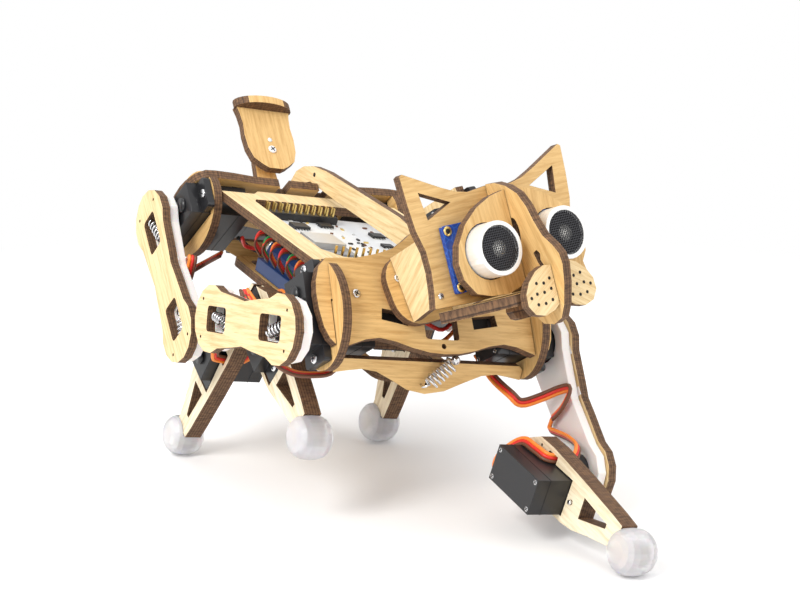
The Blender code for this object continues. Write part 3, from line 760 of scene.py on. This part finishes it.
def wires(leg):
    """Three-strand servo lead in two lengths: body to thigh, and thigh to lower leg."""
    side, end, thigh_angle = LEGS[leg]
    thigh, shank = THIGH[leg], SHANK[leg]
    upper = [Vector((side * 27, end * 43, -9.5))]
    if thigh_angle * end < 0:
        upper += [
            Vector((side * 29.5, end * 51, -14.5)), Vector((side * 31, end * 60.5, -16.4)),
            Vector((side * 34.5, end * 62.6, -18.3)), Vector((side * 40, end * 64.8, -15.2)),
            Vector((side * 43.6, end * 68, -11.2)),
        ]
    else:
        upper += [
            Vector((side * 29.5, end * 49, -15.2)), Vector((side * 35, end * 47, -17.8)),
            Vector((side * 40.5, end * 42, -18.8)),
        ]
    across = ((44.7, -8.4, -20.4), (44.4, -3.0, -24.0), (44.2, 3.2, -25.2))
    middle = [thigh @ Vector((side * x, y, z)) for x, y, z in across]
    lower = [thigh @ Vector((side * x, y, z)) for x, y, z in ((43.8, 5.2, -28.0), (43.4, 1.0, -31.6))]
    if end > 0:
        lower.append(shank @ Vector((side * 43.1, -0.5, 9.6)))
    ends = (
        (42.8, -8.8, 5.0), (41.2, -9.4, -1.6), (37.4, -7.45, -5.2), (28.4, -7.45, -5.2), (26.8, -7.5, 0.5),
        (26.2, -7.0, 6.4), (25.2, -2.6, 10.6), (24.0, 2.4, 12.8), (22.8, 4.6, 11.0), (22.2, 4.2, 7.5),
    )
    lower += [shank @ Vector((side * x, y, z)) for x, y, z in ends]
    made = []
    for label, line, pair, span in (
        ("upper", upper + middle, ("body", leg + "_thigh"), (upper[0], middle[0])),
        ("lower", middle[-1:] + lower, (leg + "_thigh", leg + "_lower_leg"), (lower[0], lower[4])),
    ):
        p = Piece(f"{leg}_lead_{label}", None)
        track = smooth(line, 5)
        turned = None
        strands = {"orange": [], "red": [], "brown": []}
        for i, point in enumerate(track):
            ahead = (track[min(i + 1, len(track) - 1)] - track[max(i - 1, 0)]).normalized()
            turned = ahead.orthogonal() if turned is None else turned - ahead * turned.dot(ahead)
            turned = turned.normalized()
            for offset, word in ((-1.0, "brown"), (0.0, "red"), (1.0, "orange")):
                strands[word].append(point + turned * offset)
        for word, points in strands.items():
            p.tube(points, 0.62, word, HERE, 7)
        obj = p.done()
        first, last = (tuple(BODY @ (point * MM)) for point in span)
        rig.blend(obj, pair[0], pair[1], start=first, end=last)
        made.append(obj)
    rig.replaces(made[0], leg + "_knee_lead")


for leg in LEGS:
    thigh_details(leg)
    shank_details(leg)
    hip_details(leg)
    wires(leg)


def chest():
    p = Piece("chest_fittings", "body")
    local = shoulder(-1)
    p.screw("Y", (-29.5, 0, 2.6), -1, 1.4, local, 0.6, 30)
    p.screw("Y", (29.5, 0, 2.6), -1, 1.4, local, 0.6, 70)
    # Dark sheets behind the chest plate: painted shade of the inside.
    for x in (-16, 16):
        x0, x1 = sorted((x - 4.4, x + 4.4))
        p.box((x0, 3.4, -8.0), (x1, 5.0, -1.0), "dark", local)
    # Hook ends of the extension spring.
    low, high = Vector((-1.6, -61.2, -13.6)), Vector((4.8, -61.6, -6.2))
    away = (low - high).normalized()
    inward = Vector((0, 1, 0))
    hook = [low, low + away * 1.2, low + away * 2.1 + inward, low + away * 1.8 + inward * 2.6]
    p.tube(hook, 0.4, "steel", HERE)
    ball = high - away * 1.2
    round_profile = [(-1.5, 0), (-1.3, 0.75), (-0.75, 1.3), (0, 1.5), (0.75, 1.3), (1.3, 0.75), (1.5, 0)]
    p.lathe("Z", ball, round_profile, "steel", HERE, 16)
    # Wiring inside the chest.
    upper = [(-20, -40, 1), (-12, -46, -2), (-2, -48, 2), (9, -46, -1), (18, -40, 3)]
    lower = [(-22, -41, -3), (-14, -47, -5), (-4, -47, -3), (8, -47, -5), (18, -41, -2)]
    p.tube(smooth(upper), 0.7, "red", HERE)
    p.tube(smooth(lower), 0.7, "orange", HERE)
    p.done()


def board():
    """Chips, headers, pads and plugs on the white circuit board."""
    p = Piece("circuit_board_parts", "body")
    top = BOARD_TOP
    p.box((-22.5, -12.0, top), (-7.0, 6.0, top + 0.8), "grey", HERE, 0.1)
    p.box((-21.5, -8.0, top + 0.8), (-9.5, 3.0, top + 3.0), "tin", HERE, 0.25)
    for i in range(12):
        y = -11.2 + i * 1.45
        p.box((-23.3, y, top), (-22.4, y + 0.8, top + 0.35), "gold", HERE)
        p.box((-7.1, y, top), (-6.2, y + 0.8, top + 0.35), "gold", HERE)
    # Middle, width, depth and height of each chip.
    chips = (
        (12.5, -14, 7, 7, 1.1), (15, 14, 5, 4, 1.0), (-14, 17, 6, 5, 1.2),
        (13, 3, 4, 3, 0.9), (-18, -20, 4, 3, 0.9), (-2.0, 21, 5, 4, 1.0),
    )
    for x, y, w, h, t in chips:
        p.box((x - w / 2, y - h / 2, top), (x + w / 2, y + h / 2, top + t), "chip", HERE, 0.12)
        for k in range(int(w // 1.1)):
            u = x - w / 2 + 0.5 + k * 1.1
            p.box((u, y - h / 2 - 0.8, top), (u + 0.45, y - h / 2, top + 0.4), "tin", HERE)
            p.box((u, y + h / 2, top), (u + 0.45, y + h / 2 + 0.8, top + 0.4), "tin", HERE)
    p.box((-23.8, -24.8, top), (4.5, -22.2, top + 2.6), "chip", HERE, 0.15)
    p.box((-24.6, 24.2, top), (4.5, 28.0, top + 2.6), "chip", HERE, 0.15)
    for i in range(11):
        x = -23.0 + i * 2.54
        p.box((x, -23.8, top + 2.4), (x + 0.64, -23.2, top + 7.0), "gold", HERE)
        for j in (0.0, 1.6):
            p.box((x, 25.0 + j, top + 2.4), (x + 0.64, 25.6 + j, top + 5.6), "gold", HERE)
    for i in range(90):
        x, y = random.uniform(-24, 24), random.uniform(-22, 24)
        if 5.6 < x < 10:
            continue
        a, b = random.choice(((0.5, 1.0), (1.0, 0.5), (0.8, 1.6), (1.6, 0.8)))
        word = random.choice(("chip", "tin", "gold", "brown", "chip"))
        p.box((x, y, top), (x + a, y + b, top + 0.45), word, HERE)
    for x, y in ((-23, -25), (23.2, -24), (23.2, 29), (-23, 22.6)):
        p.lathe("Z", (x, y, 0), [(top, 0), (top, 1.5), (top + 0.05, 1.5), (top + 0.05, 0)], "gold", HERE, 20)
        p.screw("Z", (x, y, top), 1, 1.25, HERE, 0.7, 20)
    # Plugs along the right-hand edge, with their wires going down inside.
    for i, word in enumerate(("red", "orange", "green", "red", "orange", "green", "red")):
        y = -18.0 + i * 6.0
        p.box((-25.0, y, top - 4.6), (-22.4, y + 2.5, top - 1.7), "chip", HERE, 0.15)
        for k, colour in enumerate((word, "red", "brown")):
            z = top - 2.4 - 0.75 * k
            route = [(-24.2, y + 1.2, z), (-27.2, y + 1.4, z - 1.0), (-27.6, y + 1.8, z - 4.2)]
            route += [(-24.5, y + 2.2, z - 8.0)]
            p.tube(smooth(route), 0.42, colour, HERE, 6)
    p.done()


WHISKER_DOTS = (
    (3.4, -11.6), (5.9, -12.6), (8.6, -12.2), (3.6, -14.6), (6.4, -15.2),
    (9.2, -15.2), (11.6, -16.0), (4.0, -17.8), (6.8, -18.4), (9.6, -18.2),
)


def face():
    p = Piece("face_fittings", "head")
    for sx in (-1, 1):
        cx = sx * 13.0
        # Rim, dark mesh disc and bright cone of each transducer; the dark disc is painted shade inside behind the
        # mesh.
        p.lathe("Y", (cx, 0, 0), [(-13.0, 0), (-13.0, 6.4), (-13.05, 6.4), (-13.05, 0)], "dark", FACE, 28)
        cone = [(-13.1, 0), (-13.1, 2.7), (-13.5, 2.2), (-13.7, 0.9), (-13.7, 0)]
        p.lathe("Y", (cx, 0, 0), cone, "cone", FACE, 20)
        count = 9
        for i in range(-count, count + 1):
            off = i * 0.68
            reach = math.sqrt(max(0.0, 6.5**2 - off**2))
            if reach < 0.6:
                continue
            p.box((cx + off - 0.09, -13.92, -reach), (cx + off + 0.09, -13.74, reach), "mesh_wire", FACE)
            p.box((cx - reach, -13.98, off - 0.09), (cx + reach, -13.80, off + 0.09), "mesh_wire", FACE)
        for z in (8.3, -8.3):
            x = sx * 20.8
            p.lathe("Y", (x, 0, z), [(-2.05, 0), (-2.05, 1.45), (-2.15, 1.45), (-2.15, 0)], "gold", FACE, 20)
            # Dark centre of each pad: painted shade of its hole.
            p.lathe("Y", (x, 0, z), [(-2.16, 0), (-2.16, 0.8), (-2.2, 0.8), (-2.2, 0)], "dark", FACE, 16)
    x_edge = 22.45
    p.box((-x_edge, -1.9, 9.75), (x_edge, -0.5, 9.95), "tin", FACE)
    p.box((-3.8, -4.3, 5.2), (3.8, -2.0, 8.2), "tin", FACE, 0.5)
    for i in range(4):
        joint = [(-2.05, 0), (-2.05, 0.75), (-2.5, 0.45), (-2.5, 0)]
        p.lathe("Y", (-3.8 + i * 2.54, 0, -8.5), joint, "tin", FACE, 12)
    for sx in (-1, 1):
        p.screw("Y", (sx * 27.2, 0, -9.4), -1, 0.95, FACE, 0.35, 20)
        for x, z in WHISKER_DOTS:
            # Dark dots: painted shade of the whisker holes.
            p.lathe("Y", (sx * x, 0, z), drum(-1, 20.26, 20.0, 0.5), "dark", FACE, 10)
    p.done()


def neck():
    p = Piece("neck_fittings", "neck")
    servo_details(p, 1, TILT_SERVO_TOP, PIVOT, HERE)
    for x in (-16, 16):
        p.screw("Y", (x, -4.0, 4.0), -1, 1.3, SWING, 0.6, 30)
    p.done()


def tail():
    p = Piece("tail_fittings", "tail")
    p.screw("Z", (0, 16.3, 1.5), 1, 1.6, TAIL, 0.7, 35, "nylon")
    p.lathe("Z", (0, 20.6, 0), [(1.5, 0), (1.5, 0.9), (1.6, 0.9), (1.6, 0)], "nylon", TAIL, 14)
    p.done()


def rear():
    p = Piece("rear_fittings", "body")
    local = shoulder(1)
    p.screw("Y", (-29.5, 0, 2.6), 1, 1.4, local, 0.6, 30)
    p.screw("Y", (29.5, 0, 2.6), 1, 1.4, local, 0.6, 70)
    # Dark discs: painted shade of holes in the frame.
    for y, z in ((-25, 20.0), (50, 20.6)):
        p.lathe("X", (0, y, z), [(6.2, 0), (6.2, 0.8), (6.28, 0.8), (6.28, 0)], "dark", HERE, 12)
    p.done()


def battery():
    p = Piece("battery_wrap", "body")
    for x in (-7.4, 7.4):
        for y in (-15.2, 34.6):
            p.lathe("Y", (x, y, -5.4), [(0, 7.0), (0, 7.12), (1.2, 7.12), (1.2, 7.0)], "tin", HERE, 28)
    p.tube(smooth([(-10, 36.4, -5), (-12, 41, -6), (-18, 43, -6), (-22, 40, -2)]), 0.7, "red", HERE)
    p.tube(smooth([(10, 36.4, -5), (4, 41, -8), (-12, 45, -8), (-22, 43, -3)]), 0.7, "seam", HERE)
    p.done()


chest()
board()
face()
neck()
tail()
rear()
battery()


# ---------------------------------------------------------------- stage, light and camera


def paper():
    """White paper that keeps the shadow near the object and fades to plain white further out."""
    s = Shader("white_paper", (0.93, 0.93, 0.935), 0.7)
    distance = s.node("ShaderNodeVectorMath", operation="LENGTH")
    s.link(s.place(), distance.inputs[0])
    fade = s.ramp(distance.outputs["Value"], [(0.16, (0, 0, 0)), (0.42, (1, 1, 1))])
    glow = s.node("ShaderNodeEmission")
    glow.inputs["Strength"].default_value = 1.0
    mixed = s.node("ShaderNodeMixShader")
    s.link(fade, mixed.inputs[0])
    s.link(s.bsdf.outputs[0], mixed.inputs[1])
    s.link(glow.outputs[0], mixed.inputs[2])
    s.link(mixed.outputs[0], s.tree.nodes["Material Output"].inputs["Surface"])
    return s.mat


floor_mesh = bmesh.new()
bmesh.ops.create_grid(floor_mesh, x_segments=1, y_segments=1, size=6.0)
floor_data = bpy.data.meshes.new("floor")
floor_mesh.to_mesh(floor_data)
floor_mesh.free()
floor_data.materials.append(paper())
floor = bpy.data.objects.new("floor", floor_data)
bpy.context.scene.collection.objects.link(floor)
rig.stage(floor)


def area(name, place, target, size, watts, colour=(1, 1, 1)):
    data = bpy.data.lights.new(name, "AREA")
    data.shape = "DISK"
    data.size = size
    data.energy = watts
    data.color = colour
    light = bpy.data.objects.new(name, data)
    bpy.context.scene.collection.objects.link(light)
    light.location = place
    light.rotation_euler = (Vector(target) - Vector(place)).to_track_quat("-Z", "Y").to_euler()


area("key", (-0.75, -0.30, 0.75), (0, 0, 0.06), 0.45, 8.0, (1.0, 0.985, 0.96))
area("fill", (0.7, -0.9, 0.55), (0, 0, 0.06), 0.8, 2.0)
area("top", (0.1, 0.4, 1.1), (0, 0, 0.05), 0.9, 3.0)

world = bpy.data.worlds.new("studio")
bpy.context.scene.world = world
world.use_nodes = True
world.node_tree.nodes["Background"].inputs["Color"].default_value = (1, 1, 1, 1)
world.node_tree.nodes["Background"].inputs["Strength"].default_value = 1.0

CAMERA_PLACE = Vector((-273.01, -496.66, 202.39)) * MM
CAMERA_TURN = (76.247, -0.264, -29.560)
FOCAL_LENGTH = 80.837
camera_data = bpy.data.cameras.new("camera")
camera_data.sensor_width = 36.0
camera_data.lens = FOCAL_LENGTH
camera_data.clip_start = 0.01
camera = bpy.data.objects.new("camera", camera_data)
bpy.context.scene.collection.objects.link(camera)
camera.location = CAMERA_PLACE
camera.rotation_euler = [math.radians(angle) for angle in CAMERA_TURN]
bpy.context.scene.camera = camera
bpy.context.scene.view_settings.view_transform = "Standard"
bpy.context.scene.view_settings.exposure = 0.0

with open("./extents.json", "w") as sizes:
    json.dump({"cad": cad_box, "scene": [list(corner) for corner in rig.bounds()]}, sizes)
